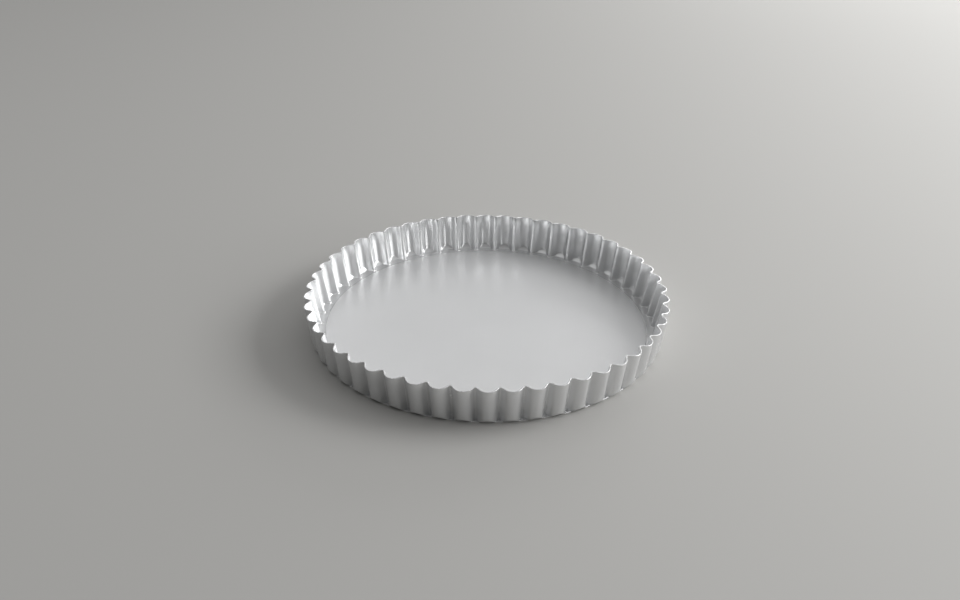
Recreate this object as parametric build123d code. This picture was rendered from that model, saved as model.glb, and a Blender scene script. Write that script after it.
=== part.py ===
from build123d import *
import os
from math import asin, atan2, cos, hypot, pi, sin

# Fluted tart pan with a loose base: a pressed ring with an inward ledge, and a flat disc on the ledge.
# Millimetres, +Z up. The origin is the middle of the pan, on the surface that it stands on.
# Inward folds of the wall are called ridges and outward ones lobes. Lobes lie on +X and -X.

# Driving dimensions
FLUTES = 50
SHEET = 0.8                 # thickness of the pressed sheet, ring and base alike
HEIGHT = 26.3               # rim height at the ridges, at the middle of the sheet

# Middle of the sheet, at the rim's height and at the ground
RIDGE_TOP = 117.35
LOBE_TOP = 121.75
RIDGE_FOOT = 112.05
LOBE_FOOT = 117.7

# Bend radii of the folds, at the middle of the sheet
RIDGE_BEND_TOP = 1.5
LOBE_BEND_TOP = 6.2
RIDGE_BEND_FOOT = 1.3
LOBE_BEND_FOOT = 5.2

RIM_FALL = 0.18             # the rim is cut square to the flared wall: fall per mm outward
HEEL_RADIUS = 115.6         # outer edge of the flat underside, an unbroken circle
HEEL_RISE = 1.0             # the lobes' feet rise by this per mm outward of the heel
LEDGE_OPENING = 101.0       # radius of the hole that the base is pushed up through

BASE_RADIUS = 108.3
BASE_EDGE_ROUND = 0.25

# Cutting margins
BELOW = 2.0
ABOVE = 3.0
OUTSIDE = 4.0

PITCH = 2 * pi / FLUTES


def between(foot, top, z):
    """A size of the wall at height z: it changes evenly from the ground to the rim."""
    return foot + (top - foot) * z / HEIGHT


def polar(radius, angle, z):
    return Vector(radius * cos(angle), radius * sin(angle), z)


def flute_wire(z, offset):
    """Closed fluted outline at height z, offset outward from the middle of the sheet."""
    ridge = between(RIDGE_FOOT, RIDGE_TOP, z)
    lobe = between(LOBE_FOOT, LOBE_TOP, z)
    ridge_bend = between(RIDGE_BEND_FOOT, RIDGE_BEND_TOP, z)
    lobe_bend = between(LOBE_BEND_FOOT, LOBE_BEND_TOP, z)

    # Bend centres of a ridge and of the next lobe: along the rim and outward
    ridge_centre = (0.0, ridge + ridge_bend)
    lobe_centre = ((lobe - lobe_bend) * sin(PITCH / 2), (lobe - lobe_bend) * cos(PITCH / 2))
    along = lobe_centre[0] - ridge_centre[0]
    outward = lobe_centre[1] - ridge_centre[1]

    # The straight flank is the inner tangent of the two bends
    slope = atan2(outward, along) + asin((ridge_bend + lobe_bend) / hypot(along, outward))
    normal = (sin(slope), -cos(slope))
    ridge_end = [ridge_centre[i] + normal[i] * (ridge_bend - offset) for i in range(2)]
    lobe_end = [lobe_centre[i] - normal[i] * (lobe_bend + offset) for i in range(2)]
    ridge_end_angle = atan2(ridge_end[0], ridge_end[1])
    lobe_end_angle = atan2(lobe_end[0], lobe_end[1])
    ridge_end_radius = hypot(*ridge_end)
    lobe_end_radius = hypot(*lobe_end)

    edges = []
    for flute in range(FLUTES):
        start = (flute + 0.5) * PITCH
        lobe_middle = start + PITCH / 2
        next_ridge = start + PITCH
        a = polar(ridge_end_radius, start + ridge_end_angle, z)
        b = polar(lobe_end_radius, start + lobe_end_angle, z)
        c = polar(lobe + offset, lobe_middle, z)
        d = polar(lobe_end_radius, next_ridge - lobe_end_angle, z)
        e = polar(ridge_end_radius, next_ridge - ridge_end_angle, z)
        f = polar(ridge + offset, next_ridge, z)
        g = polar(ridge_end_radius, next_ridge + ridge_end_angle, z)
        edges.append(Edge.make_line(a, b))
        edges.append(Edge.make_three_point_arc(b, c, d))
        edges.append(Edge.make_line(d, e))
        edges.append(Edge.make_three_point_arc(e, f, g))
    return Wire(edges)


def fluted_body(offset, bottom, top):
    """Solid inside the fluted outline, between two heights."""
    return Solid.make_loft([flute_wire(bottom, offset), flute_wire(top, offset)], ruled=True)


def turned(points):
    """Solid of revolution about Z, from its outline in radius and height."""
    return revolve(Plane.XZ * make_face(Polyline(*points, close=True)), Axis.Z)


def rim_height(radius):
    return HEIGHT - RIM_FALL * (radius - RIDGE_TOP)


def foot_height(radius, heel):
    return HEEL_RISE * (radius - heel)


def fluted_ring():
    """The fluted wall with its ledge, and a sole that closes the grooves' feet to a full circle."""
    reach = LOBE_TOP + OUTSIDE
    outer_envelope = turned([
        (0, 0),
        (HEEL_RADIUS, 0),
        (reach, foot_height(reach, HEEL_RADIUS)),
        (reach, rim_height(reach)),
        (0, rim_height(0)),
    ])
    # The inside follows the underside, one sheet thickness above it
    inner_heel = HEEL_RADIUS - SHEET * (hypot(1, HEEL_RISE) - 1) / HEEL_RISE
    ceiling = HEIGHT + 2 * ABOVE
    inner_envelope = turned([
        (0, SHEET),
        (inner_heel, SHEET),
        (reach, SHEET + foot_height(reach, inner_heel)),
        (reach, ceiling),
        (0, ceiling),
    ])
    sole = turned([
        (LEDGE_OPENING - BELOW, 0),
        (HEEL_RADIUS, 0),
        (HEEL_RADIUS - SHEET / 2, SHEET),
        (LEDGE_OPENING - BELOW, SHEET),
    ])
    outside = fluted_body(SHEET / 2, -BELOW, HEIGHT + ABOVE) & outer_envelope
    inside = fluted_body(-SHEET / 2, -BELOW, HEIGHT + 2 * ABOVE) & inner_envelope
    opening = Cylinder(LEDGE_OPENING, 2 * HEIGHT)
    return (outside + sole) - inside - opening


def loose_base():
    disc = Cylinder(BASE_RADIUS, SHEET, align=(Align.CENTER, Align.CENTER, Align.MIN))
    disc = fillet(disc.edges(), BASE_EDGE_ROUND)
    return Pos(0, 0, SHEET) * disc


NODES = {
    "fluted_ring": fluted_ring,
    "loose_base": loose_base,
}

os.makedirs("parts", exist_ok=True)
for name, make in NODES.items():
    export_step(make(), f"parts/{name}.step")
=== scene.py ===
from math import asin, atan2, cos, exp, hypot, pi, radians, sin

import bmesh
import bpy
import numpy as np
from mathutils import Matrix, Vector


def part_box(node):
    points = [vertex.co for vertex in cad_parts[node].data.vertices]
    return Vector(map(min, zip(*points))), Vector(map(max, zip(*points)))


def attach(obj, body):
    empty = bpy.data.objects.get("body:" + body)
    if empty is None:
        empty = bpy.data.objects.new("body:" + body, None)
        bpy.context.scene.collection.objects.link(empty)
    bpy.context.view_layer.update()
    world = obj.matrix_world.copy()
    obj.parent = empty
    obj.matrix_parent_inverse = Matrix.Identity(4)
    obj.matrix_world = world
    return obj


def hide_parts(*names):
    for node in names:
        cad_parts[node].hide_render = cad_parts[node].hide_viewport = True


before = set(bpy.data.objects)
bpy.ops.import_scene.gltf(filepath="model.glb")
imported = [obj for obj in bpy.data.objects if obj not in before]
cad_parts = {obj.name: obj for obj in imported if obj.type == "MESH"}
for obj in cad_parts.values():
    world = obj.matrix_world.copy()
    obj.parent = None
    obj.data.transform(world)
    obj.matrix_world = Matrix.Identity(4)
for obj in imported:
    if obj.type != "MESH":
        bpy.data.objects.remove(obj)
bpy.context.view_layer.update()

# ---------------------------------------------------------------- sizes, in metres

MM = 0.001
ring_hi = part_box("fluted_ring")[1]
base_lo, base_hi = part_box("loose_base")

FLUTES = 50
PITCH = 2 * pi / FLUTES         # from one ridge to the next, round the pan
SHEET = base_hi.z - base_lo.z   # thickness of the ring and the base alike
RIM_HEIGHT = ring_hi.z          # at the inner face of the ridges

# Middle of the sheet at the rim's height and at the ground, as in the CAD model
RIDGE_TOP, RIDGE_FOOT = 117.35 * MM, 112.05 * MM
LOBE_TOP, LOBE_FOOT = 121.75 * MM, 117.7 * MM
RIDGE_BEND_TOP, RIDGE_BEND_FOOT = 1.5 * MM, 1.3 * MM
LOBE_BEND_TOP, LOBE_BEND_FOOT = 6.2 * MM, 5.2 * MM
RIM_FALL = 0.18                 # fall of the rim per metre outward
HEEL_RADIUS = 115.6 * MM        # outer edge of the flat underside
HEEL_RISE = 1.0                 # rise of the lobes' feet per metre outward
LEDGE_OPENING = 101.0 * MM

# Outer foot of the flutes
HEEL_SET_BACK = 0.1 * MM        # from the heel in to the mesh's own ground edge
SILL_BLEND = 0.8 * MM           # a groove this far inside the heel has its full flat sill
SILL_HEIGHT = 0.4 * MM
SILL_SET_BACK = 0.3 * MM        # from the heel in to the sill's upper edge
LEAST_FOOT = 0.45 * MM          # lowest that the wall ends where there is no sill
SILL_CRISPNESS = 0.75           # share that a full sill takes off the bends beside it

# Inner foot of the flutes
LEAST_STEP = 0.25 * MM          # lowest that the wall ends above the ledge
FOOT_GAP = 0.3 * MM             # from the wall's inner face in to the ledge's outer edge
DENT_DEPTH = 0.45 * MM          # of the dent in the ledge at a ridge's foot
DENT_LENGTH = 0.8 * MM
DENT_SPREAD = 0.09              # half its width, where 1 is the way from a ridge to a lobe

# Length that each soft bend takes off the sides of its corner
LEDGE_EDGE_CUT = 0.25 * MM
HEEL_CUT = 0.2 * MM
FOOT_CUT = 0.5 * MM
WALL_FOOT_CUT = 0.8 * MM
RIM_CUT = 0.28 * MM

# The disc
BASE_RADIUS = base_hi.x
BASE_EDGE_CUT = 0.24 * MM
HUB_RADIUS = 2 * MM             # the many-sided face at the middle of each side
BASE_COLUMNS = 720

# Satin metal
METALLIC = 0.6
RING_ROUGHNESS = 0.15
BASE_ROUGHNESS = 0.35
GRAIN_DEPTH = 0.012 * MM
SPECKLE_CELLS = (2600, 2600, 2600)      # per metre
DULL = (0.745, 0.75, 0.755)
RING_BRIGHT = (0.845, 0.85, 0.855)
BASE_BRIGHT = (0.815, 0.82, 0.825)

# Studio
FLOOR_REACH = 3.0
FLOOR_COLOUR = (0.47, 0.465, 0.45)
FLOOR_ROUGHNESS = 0.85
LIGHT_DISTANCE = 1.5


# ---------------------------------------------------------------- meshes

def grid_mesh(name, grid, close_rows):
    """Smooth mesh of quads over grid[row, column, xyz], whose columns go once round the pan."""
    rows, columns = grid.shape[:2]
    row_steps = rows if close_rows else rows - 1
    r, c = np.meshgrid(np.arange(row_steps), np.arange(columns), indexing="ij")
    r2, c2 = (r + 1) % rows, (c + 1) % columns
    corners = [r * columns + c, r * columns + c2, r2 * columns + c2, r2 * columns + c]
    faces = np.stack(corners, axis=-1).reshape(-1, 4)
    mesh = bpy.data.meshes.new(name)
    mesh.from_pydata(grid.reshape(-1, 3).tolist(), [], faces.tolist())
    mesh.shade_smooth()
    piece = bpy.data.objects.new(name, mesh)
    bpy.context.collection.objects.link(piece)
    return piece


def blend_corner(before, corner, after, cut, steps):
    """Points of a soft bend at a corner: a parabola that starts and ends up to cut from it."""
    just_under_half = 0.48                      # so that two bends never meet on a short side
    to_before, to_after = before - corner, after - corner
    start = corner + to_before * min(cut / np.linalg.norm(to_before), just_under_half)
    end = corner + to_after * min(cut / np.linalg.norm(to_after), just_under_half)
    t = np.linspace(0, 1, steps)[:, None]
    return (1 - t) ** 2 * start + 2 * t * (1 - t) * corner + t ** 2 * end


def arc(centre, radius, start, end, steps):
    turn = np.linspace(start, end, steps + 1)
    return centre + radius * np.stack([np.cos(turn), np.sin(turn)], axis=-1)


def flute_profile(ridge, lobe, ridge_bend, lobe_bend, offset, steps):
    """Half a flute, from a ridge to the next lobe, as points along the rim and outward.

    The straight flank is the inner tangent of the ridge's bend and the lobe's bend."""
    ridge_steps, flank_steps, lobe_steps = steps
    half = PITCH / 2
    ridge_centre = np.array([0, ridge + ridge_bend])
    lobe_centre = (lobe - lobe_bend) * np.array([sin(half), cos(half)])
    along, outward = lobe_centre - ridge_centre
    slope = atan2(outward, along) + asin((ridge_bend + lobe_bend) / hypot(along, outward))

    ridge_arc = arc(ridge_centre, ridge_bend - offset, -pi / 2, slope - pi / 2, ridge_steps)
    lobe_arc = arc(lobe_centre, lobe_bend + offset, slope + pi / 2, pi / 2 - half, lobe_steps)
    share = np.linspace(0, 1, flank_steps + 1)[1:-1, None]
    flank = ridge_arc[-1] * (1 - share) + lobe_arc[0] * share
    return np.concatenate([ridge_arc, flank, lobe_arc])


def wall_lines(offset):
    """Foot and rim points of the wall's straight lines over half a flute, for one face."""
    steps = (5, 3, 10)                          # on the ridge's bend, the flank and the lobe's bend
    foot = flute_profile(RIDGE_FOOT, LOBE_FOOT, RIDGE_BEND_FOOT, LOBE_BEND_FOOT, offset, steps)
    top = flute_profile(RIDGE_TOP, LOBE_TOP, RIDGE_BEND_TOP, LOBE_BEND_TOP, offset, steps)
    height = RIM_HEIGHT - RIM_FALL * SHEET / 2
    foot = np.column_stack([foot, np.zeros(len(foot))])
    top = np.column_stack([top, np.full(len(top), height)])
    return foot, top


def at_height(foot, top, z):
    """The point of a line of the wall at a height."""
    return foot + (top - foot) * z / top[2]


def at_azimuth(point, radius, z):
    """The point of the given radius and height, in the same direction from the axis."""
    away = point[:2] / np.linalg.norm(point[:2])
    return np.array([*(away * radius), z])


def radius_and_flare(foot, top):
    """Distance of a line's foot from the axis, and how fast it moves away as it rises."""
    foot_radius, top_radius = np.linalg.norm(foot[:2]), np.linalg.norm(top[:2])
    return foot_radius, (top_radius - foot_radius) / top[2]


def rim_point(foot, top):
    """Where a line of the wall meets the rim, which is cut on a shallow cone."""
    foot_radius, flare = radius_and_flare(foot, top)
    z = (top[2] - RIM_FALL * (foot_radius - RIDGE_TOP)) / (1 + RIM_FALL * flare)
    return at_height(foot, top, z)


def sloped_foot_height(foot, top, heel, level):
    """Height where a line of the wall meets the foot that slopes up outward from the heel."""
    foot_radius, flare = radius_and_flare(foot, top)
    return level + HEEL_RISE * (foot_radius + flare * level - heel) / (1 - HEEL_RISE * flare)


def ring_section(outer_line, inner_line, middle_line):
    """One closed section of the ring's sheet, from the ledge's hole out, up and back."""
    outer_foot, outer_top = outer_line
    inner_foot, inner_top = inner_line
    middle_foot = middle_line[0]
    to_ridge = atan2(middle_foot[0], middle_foot[1]) / (PITCH / 2)      # 0 at a ridge, 1 at a lobe

    # Outside: the lobes' feet slope down to the heel, and a flat sill closes each groove's foot
    rise = sloped_foot_height(outer_foot, outer_top, HEEL_RADIUS, 0)
    sill = min(max((HEEL_RADIUS - np.linalg.norm(outer_foot[:2])) / SILL_BLEND, 0), 1)
    outer_corner_z = hypot(max(rise, 0), LEAST_FOOT) * (1 - sill) + SILL_HEIGHT * sill
    outer_corner = at_height(outer_foot, outer_top, outer_corner_z)
    heel_corner = at_azimuth(outer_foot, HEEL_RADIUS - HEEL_SET_BACK, 0)
    sill_edge = at_azimuth(outer_foot, HEEL_RADIUS - SILL_SET_BACK, SILL_HEIGHT)
    sill_corner = (heel_corner + outer_corner) / 2 * (1 - sill) + sill_edge * sill
    softness = 1 - SILL_CRISPNESS * sill

    # Inside: the lobes' feet run down to the ledge, which is dented where each ridge meets it
    inner_heel = HEEL_RADIUS - SHEET * (hypot(1, HEEL_RISE) - 1) / HEEL_RISE
    inner_rise = sloped_foot_height(inner_foot, inner_top, inner_heel, SHEET)
    inner_corner_z = max(inner_rise, SHEET + LEAST_STEP)
    ledge_end = min(inner_heel, np.linalg.norm(inner_foot[:2]) - FOOT_GAP)
    dent = DENT_DEPTH * exp(-(to_ridge / DENT_SPREAD) ** 2)

    # Each corner's point, the cut and the points of its bend, and the rows on the straight after it
    corners = [
        (at_azimuth(middle_foot, LEDGE_OPENING, 0), LEDGE_EDGE_CUT, 4, 0),
        (heel_corner, HEEL_CUT, 4, 0),
        (sill_corner, FOOT_CUT * softness, 5, 0),
        (outer_corner, WALL_FOOT_CUT * softness, 6, 2),
        (rim_point(outer_foot, outer_top), RIM_CUT, 5, 0),
        (rim_point(inner_foot, inner_top), RIM_CUT, 5, 2),
        (at_height(inner_foot, inner_top, inner_corner_z), WALL_FOOT_CUT, 7, 0),
        (at_azimuth(inner_foot, ledge_end, SHEET - dent), FOOT_CUT, 5, 0),
        (at_azimuth(inner_foot, ledge_end - DENT_LENGTH, SHEET), FOOT_CUT, 4, 0),
        (at_azimuth(middle_foot, LEDGE_OPENING, SHEET), LEDGE_EDGE_CUT, 4, 0),
    ]
    bends = []
    for i, (corner, cut, steps, _) in enumerate(corners):
        before, after = corners[i - 1][0], corners[(i + 1) % len(corners)][0]
        bends.append(blend_corner(before, corner, after, cut, steps))
    points = []
    for i, bend in enumerate(bends):
        next_start = bends[(i + 1) % len(bends)][0]
        rows = corners[i][3]
        share = np.linspace(0, 1, rows + 2)[1:-1, None]
        points.extend(bend)
        points.extend(bend[-1] * (1 - share) + next_start * share)
    return np.array(points)


def fluted_ring():
    """The ring: sections of half a flute, mirrored in the lobe's middle and repeated round the pan."""
    faces = [wall_lines(offset) for offset in (SHEET / 2, -SHEET / 2, 0)]
    half = np.array([
        ring_section(*[(foot[i], top[i]) for foot, top in faces])
        for i in range(len(faces[0][0]))
    ])                                          # [line, row, (along, outward, up)]
    across = np.array([cos(PITCH / 2), -sin(PITCH / 2)])
    mirrored = half[-2:0:-1].copy()
    mirrored[..., :2] -= 2 * (mirrored[..., :2] @ across)[..., None] * across
    flute = np.concatenate([half, mirrored])
    ring = []
    for k in range(FLUTES):
        turn = -k * PITCH - pi                  # a ridge lies on -Y and another on +Y
        spin = np.array([[cos(turn), sin(turn)], [-sin(turn), cos(turn)]])
        copy = flute.copy()
        copy[..., :2] = flute[..., :2] @ spin
        ring.append(copy)
    grid = np.concatenate(ring).transpose(1, 0, 2)
    return grid_mesh("ring", grid, close_rows=True)


def loose_base():
    """The disc: two flat faces with rounded edges, and a many-sided face at each middle."""
    low, high = base_lo.z, base_hi.z
    under = np.linspace(HUB_RADIUS, BASE_RADIUS - BASE_EDGE_CUT, 12)[:-1]
    near_edge = 0.97 * BASE_RADIUS
    over = np.linspace(near_edge, HUB_RADIUS, 14)
    lower_corner, upper_corner = [np.array([BASE_RADIUS, 0, z]) for z in (low, high)]
    further_in_below, further_in_above = [np.array([BASE_RADIUS / 2, 0, z]) for z in (low, high)]
    section = np.concatenate([
        [(radius, 0, low) for radius in under],
        blend_corner(further_in_below, lower_corner, upper_corner, BASE_EDGE_CUT, 4),
        blend_corner(lower_corner, upper_corner, further_in_above, BASE_EDGE_CUT, 6),
        [(radius, 0, high) for radius in over],
    ])
    angle = np.arange(BASE_COLUMNS) * 2 * pi / BASE_COLUMNS
    grid = np.stack([
        section[:, None, 0] * np.cos(angle),
        section[:, None, 0] * np.sin(angle),
        section[:, None, 2] + 0 * angle,
    ], axis=-1)
    piece = grid_mesh("base_disc", grid, close_rows=False)
    mesh = piece.data
    work = bmesh.new()
    work.from_mesh(mesh)
    points = list(work.verts)
    work.faces.new(points[BASE_COLUMNS - 1::-1]).smooth = True
    work.faces.new(points[-BASE_COLUMNS:]).smooth = True
    bmesh.ops.recalc_face_normals(work, faces=work.faces)
    work.to_mesh(mesh)
    work.free()
    return piece


# ---------------------------------------------------------------- materials

def add_node(tree, kind, inputs, **settings):
    """A new node; each input is a fixed value, or the socket that it is linked to."""
    node = tree.nodes.new(kind)
    for setting, value in settings.items():
        setattr(node, setting, value)
    for socket, value in inputs.items():
        if isinstance(value, bpy.types.NodeSocket):
            tree.links.new(value, node.inputs[socket])
        else:
            node.inputs[socket].default_value = value
    return node


def calculate(tree, operation, *values):
    return add_node(tree, "ShaderNodeMath", dict(enumerate(values)), operation=operation).outputs[0]


def weighted_sum(tree, start, *terms):
    """A fixed start plus each socket times its weight."""
    total = start
    for socket, weight in terms:
        total = calculate(tree, "MULTIPLY_ADD", socket, weight, total)
    return total


def ramp(tree, value, zero_at, one_at):
    """Rises from 0 to 1 as the value goes from one level to another, and is held at both ends."""
    inputs = {"Value": value, "From Min": zero_at, "From Max": one_at}
    return add_node(tree, "ShaderNodeMapRange", inputs).outputs["Result"]


def noise(tree, place, cells, detail=3, turn=0):
    """Noise from 0 to 1, with a number of cells per metre along each axis, turned about Z."""
    turned = add_node(tree, "ShaderNodeMapping", {"Vector": place, "Rotation": (0, 0, radians(turn))})
    drawn_out = add_node(tree, "ShaderNodeMapping", {"Vector": turned.outputs["Vector"], "Scale": cells})
    inputs = {"Vector": drawn_out.outputs["Vector"], "Scale": 1, "Detail": detail}
    return add_node(tree, "ShaderNodeTexNoise", inputs).outputs["Fac"]


def scratches(tree, place, turn):
    """Sparse hair lines in one direction: level lines of a drawn-out noise, kept in patches."""
    lines = noise(tree, place, (9, 420, 420), detail=1, turn=turn)
    from_line = calculate(tree, "ABSOLUTE", calculate(tree, "SUBTRACT", lines, 0.5))
    thin = ramp(tree, from_line, 0.012, 0.003)
    patches = ramp(tree, noise(tree, place, (38, 38, 38), turn=turn), 0.54, 0.66)
    return calculate(tree, "MULTIPLY", thin, patches)


def wall_place(tree, place):
    """A place's distance round the pan, radius and height as one vector, then angle, radius, height."""
    axes = add_node(tree, "ShaderNodeSeparateXYZ", {"Vector": place}).outputs
    angle = calculate(tree, "ARCTAN2", axes["Y"], axes["X"])
    across = calculate(tree, "MULTIPLY", axes["X"], axes["X"])
    radius = calculate(tree, "SQRT", calculate(tree, "MULTIPLY_ADD", axes["Y"], axes["Y"], across))
    inputs = {"X": calculate(tree, "MULTIPLY", angle, RIDGE_TOP), "Y": radius, "Z": axes["Z"]}
    return add_node(tree, "ShaderNodeCombineXYZ", inputs).outputs["Vector"], angle, radius, axes["Z"]


def finish_metal(tree, bright, tone, roughness, height):
    """Satin metal, from sockets worked out over its surface; tone 0 is dull and 1 is bright."""
    shader = tree.nodes["Principled BSDF"]
    shader.inputs["Metallic"].default_value = METALLIC
    inputs = {"Fac": tone, "Color1": (*DULL, 1), "Color2": (*bright, 1)}
    colour = add_node(tree, "ShaderNodeMixRGB", inputs)
    bump = add_node(tree, "ShaderNodeBump", {"Height": height, "Strength": 1, "Distance": GRAIN_DEPTH})
    tree.links.new(colour.outputs["Color"], shader.inputs["Base Color"])
    tree.links.new(roughness, shader.inputs["Roughness"])
    tree.links.new(bump.outputs["Normal"], shader.inputs["Normal"])


def new_metal(name):
    material = bpy.data.materials.new(name)
    material.use_nodes = True
    tree = material.node_tree
    return material, tree, tree.nodes.new("ShaderNodeTexCoord").outputs["Object"]


def ring_metal():
    """Pressed sheet: drawing marks down the flutes, ridges made rougher by the die and darkened in
    colour as a painted dark reflection line, and a rougher sheared rim lightened in colour as a painted
    highlight.
    """
    material, tree, place = new_metal("ring_metal")
    wall, angle, radius, height = wall_place(tree, place)
    drawn = noise(tree, wall, (1500, 300, 40))
    clouds = noise(tree, place, (60, 60, 60), detail=4)
    speckle = noise(tree, place, SPECKLE_CELLS, detail=2)
    lines = scratches(tree, wall, 83)
    # The cosine is -1 at a ridge and 1 at a lobe
    flute = calculate(tree, "COSINE", calculate(tree, "MULTIPLY", angle, FLUTES))
    # Painted shade: the ridge noses are darkened in colour to stand in for a dark reflection line; their
    # roughness is raised for the die's rubbing
    ridge_rub_and_shade = ramp(tree, flute, -0.80, -0.98)
    # The level is the same all along the rim, so it marks the sheared edge just below it; that band is
    # made rougher as sheared metal, and lightened in colour as a painted highlight along the rim
    level = calculate(tree, "MULTIPLY_ADD", radius, RIM_FALL, height)
    rim_level = RIM_HEIGHT + RIM_FALL * RIDGE_TOP
    rim_shear_and_highlight = ramp(tree, level, rim_level - 0.55 * MM, rim_level - 0.2 * MM)
    # In the tone, the ridge term is painted shade and the rim term a painted highlight; clouds, drawing
    # marks and scratches are the metal's own tone
    tone = weighted_sum(tree, 0.12, (clouds, 0.5), (drawn, 0.3), (ridge_rub_and_shade, -0.2), (rim_shear_and_highlight, 0.05),
                        (lines, 0.3))
    # Noise averages about 0.5, so the start is lower by half of the noises' weights
    roughness = weighted_sum(tree, RING_ROUGHNESS - 0.075, (clouds, 0.10), (drawn, 0.05),
                             (ridge_rub_and_shade, 0.06), (rim_shear_and_highlight, 0.12), (lines, 0.10))
    bumps = weighted_sum(tree, 0.0, (drawn, 0.8), (speckle, 0.25), (lines, -0.6))
    finish_metal(tree, RING_BRIGHT, tone, roughness, bumps)
    return material


def base_metal():
    """Flat rolled sheet: straight rolling grain, soft clouds and a few hair-line scratches."""
    material, tree, place = new_metal("base_metal")
    rolled = noise(tree, place, (1900, 45, 300))
    clouds = noise(tree, place, (30, 30, 30), detail=4)
    speckle = noise(tree, place, SPECKLE_CELLS, detail=2)
    lines = scratches(tree, place, 27)
    for turn in (74, 141):
        lines = calculate(tree, "MAXIMUM", lines, scratches(tree, place, turn))
    tone = weighted_sum(tree, 0.12, (clouds, 0.5), (rolled, 0.26), (lines, 0.35))
    # As for the ring, the start is lower by half of the noises' weights
    roughness = weighted_sum(tree, BASE_ROUGHNESS - 0.07, (clouds, 0.10), (rolled, 0.04), (lines, 0.12))
    bumps = weighted_sum(tree, 0.0, (rolled, 0.3), (speckle, 0.2), (lines, -0.5))
    finish_metal(tree, BASE_BRIGHT, tone, roughness, bumps)
    return material


# ---------------------------------------------------------------- the pan

ring = fluted_ring()
ring.data.materials.append(ring_metal())
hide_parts("fluted_ring")
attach(ring, "ring")

base = loose_base()
base.data.materials.append(base_metal())
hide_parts("loose_base")
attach(base, "base")


# ---------------------------------------------------------------- floor, light and camera

def stage_floor():
    reach = FLOOR_REACH
    corners = [(-reach, -reach, 0), (reach, -reach, 0), (reach, reach, 0), (-reach, reach, 0)]
    mesh = bpy.data.meshes.new("floor")
    mesh.from_pydata(corners, [], [(0, 1, 2, 3)])
    floor = bpy.data.objects.new("floor", mesh)
    bpy.context.collection.objects.link(floor)
    material = bpy.data.materials.new("pale_floor")
    material.use_nodes = True
    shader = material.node_tree.nodes["Principled BSDF"]
    shader.inputs["Base Color"].default_value = (*FLOOR_COLOUR, 1)
    shader.inputs["Roughness"].default_value = FLOOR_ROUGHNESS
    floor.data.materials.append(material)


def direction(azimuth, elevation):
    """Unit vector, with the azimuth in degrees from the front (-Y) towards +X."""
    azimuth, elevation = radians(azimuth), radians(elevation)
    return Vector((sin(azimuth) * cos(elevation), -cos(azimuth) * cos(elevation), sin(elevation)))


def soft_light(name, azimuth, elevation, size, power):
    """A soft window that faces the pan."""
    towards = direction(azimuth, elevation)
    light = bpy.data.lights.new(name, "AREA")
    light.shape = "RECTANGLE"
    light.size, light.size_y = size
    light.energy = power
    lamp = bpy.data.objects.new(name, light)
    lamp.location = towards * LIGHT_DISTANCE
    lamp.rotation_mode = "QUATERNION"
    lamp.rotation_quaternion = (-towards).to_track_quat("-Z", "Y")
    bpy.context.collection.objects.link(lamp)


def aim_camera():
    azimuth, elevation, roll = 2.87, 30.31, 0.70        # degrees
    distance = 0.8386
    aim_up, aim_left = 17.0 * MM, 4.5 * MM      # the pan sits a little low and right in the frame
    back = direction(azimuth, elevation)
    right = direction(azimuth + 90, 0)
    up = back.cross(right)
    aim = up * aim_up - right * aim_left
    data = bpy.data.cameras.new("camera")
    data.sensor_width = 36
    data.lens = 46.2
    data.clip_start = 0.01
    camera = bpy.data.objects.new("camera", data)
    bpy.context.collection.objects.link(camera)
    camera.location = back * distance
    look = (aim - camera.location).to_track_quat("-Z", "Y")
    camera.rotation_mode = "QUATERNION"
    camera.rotation_quaternion = look @ Matrix.Rotation(radians(roll), 3, "Z").to_quaternion()
    bpy.context.scene.camera = camera


def world_light(bright_side, darkest, brightest):
    """Soft surroundings that brighten evenly towards one side of the studio."""
    world = bpy.data.worlds.new("studio")
    world.use_nodes = True
    nodes, links = world.node_tree.nodes, world.node_tree.links
    place = nodes.new("ShaderNodeTexCoord")
    side = nodes.new("ShaderNodeVectorMath")
    side.operation = "DOT_PRODUCT"
    side.inputs[1].default_value = Vector(bright_side).normalized()
    level = nodes.new("ShaderNodeMapRange")
    level.interpolation_type = "SMOOTHSTEP"
    level.inputs["From Min"].default_value = -1
    level.inputs["To Min"].default_value = darkest
    level.inputs["To Max"].default_value = brightest
    links.new(place.outputs["Generated"], side.inputs[0])
    links.new(side.outputs["Value"], level.inputs["Value"])
    links.new(level.outputs["Result"], nodes["Background"].inputs["Strength"])
    nodes["Background"].inputs["Color"].default_value = (1, 1, 1, 1)
    bpy.context.scene.world = world


stage_floor()
aim_camera()
world_light(bright_side=(0.35, 0.90, 0.40), darkest=0.0, brightest=0.60)
soft_light("low_window", 68, 15, (1.0, 0.30), 4.5)
soft_light("side_window", 104, 30, (0.9, 0.6), 14.5)
soft_light("back_window", 150, 14, (1.2, 0.4), 6)
soft_light("left_fill", 255, 58, (1.5, 1.0), 1.5)
bpy.context.scene.view_settings.view_transform = "Standard"
